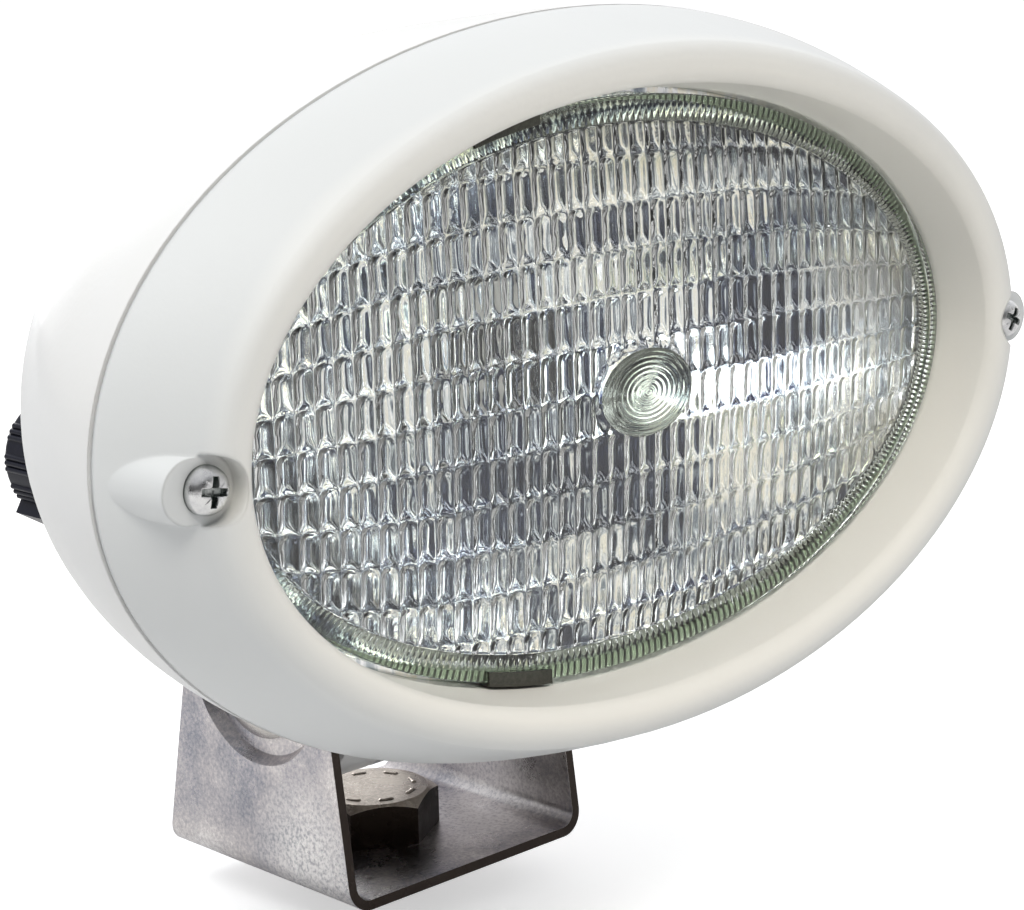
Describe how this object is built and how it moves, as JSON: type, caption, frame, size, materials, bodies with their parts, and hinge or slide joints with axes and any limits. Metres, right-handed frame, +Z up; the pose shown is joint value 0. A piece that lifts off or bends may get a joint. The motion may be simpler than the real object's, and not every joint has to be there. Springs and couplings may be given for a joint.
{
  "type": "deck floodlight",
  "caption": "Oval white halogen deck floodlight with a fluted glass lens, on a tilting stainless U bracket that swivels on its mounting bolt.",
  "frame": {"origin": "on the axis of the mounting bolt, at the underside of the bracket, where it meets the deck", "axes": "+Z up along the mounting bolt, the lamp looks toward -Y, +X along the long axis of the oval"},
  "size_m": [0.1748, 0.1035, 0.1405],
  "materials": {
    "bracket_steel": "brushed stainless sheet, slightly mottled",
    "bolt_steel": "bright stainless bolt",
    "pivot_steel": "polished stainless cup head",
    "washer_steel": "stainless washer and nut",
    "friction_plastic": "dark nylon friction washers",
    "sleeve_steel": "turned steel sleeve",
    "white_housing": "white gloss plastic",
    "white_bezel": "white gloss plastic",
    "zinc_screws": "zinc-plated screws",
    "brass_inserts": "turned brass",
    "lens_glass": "pressed clear glass, faint green",
    "seal_rubber": "black soft seal",
    "clip_steel": "spring steel",
    "mirror_coating": "vacuum-coated reflector",
    "bulb_glass": "quartz capsule",
    "bulb_ceramic": "off-white ceramic",
    "terminal_plastic": "cream plastic block",
    "gland_plastic": "blue-black gloss nylon"
  },
  "bodies": {
    "deck_bolt": {"mounting_bolt": "bolt_steel"},
    "bracket": {"mounting_bracket": "bracket_steel", "pivot_bolt": "pivot_steel", "pivot_washer": "washer_steel", "pivot_nut": "washer_steel", "tilt_washers": "friction_plastic"},
    "lamp_head": {"pivot_sleeve": "sleeve_steel", "rear_housing": "white_housing", "pivot_foot": "white_housing", "gland_socket": "white_housing", "front_bezel": "white_bezel", "bezel_screws": "zinc_screws", "insert_nuts": "brass_inserts", "lens": "lens_glass", "lens_seal": "seal_rubber", "lens_clips": "clip_steel", "reflector": "mirror_coating", "bezel_gasket": "seal_rubber", "reflector_gasket": "seal_rubber", "bulb_capsule": "bulb_glass", "bulb_base": "bulb_ceramic", "bulb_clip": "clip_steel", "terminal_block": "terminal_plastic", "terminal_screws": "zinc_screws", "gland_ring": "seal_rubber", "gland_body": "gland_plastic", "cable_seal": "seal_rubber"},
    "gland_slider": {"clamp_ring": "gland_plastic"},
    "gland_cap": {"gland_nut": "gland_plastic"}
  },
  "joints": [
    {"name": "swivel", "type": "hinge", "parent": "deck_bolt", "child": "bracket", "pos_m": [0, 0, 0], "axis": [0, 0, 1], "range_deg": [-180, 180]},
    {"name": "tilt", "type": "hinge", "parent": "bracket", "child": "lamp_head", "pos_m": [0, -0.0018, 0.0345], "axis": [1, 0, 0], "range_deg": [-60, 25]},
    {"name": "gland_travel", "type": "slide", "parent": "lamp_head", "child": "gland_slider", "axis": [0, 1, 0], "range_m": [0, 0.0015]},
    {"name": "gland_turn", "type": "hinge", "parent": "gland_slider", "child": "gland_cap", "pos_m": [-0.0343, 0.0282, 0.0654], "axis": [0, 1, 0], "range_deg": [0, 361]}
  ],
  "couplings": [
    {"joint": "gland_turn", "follows": "gland_travel", "rad_per_m": 4188.8}
  ]
}
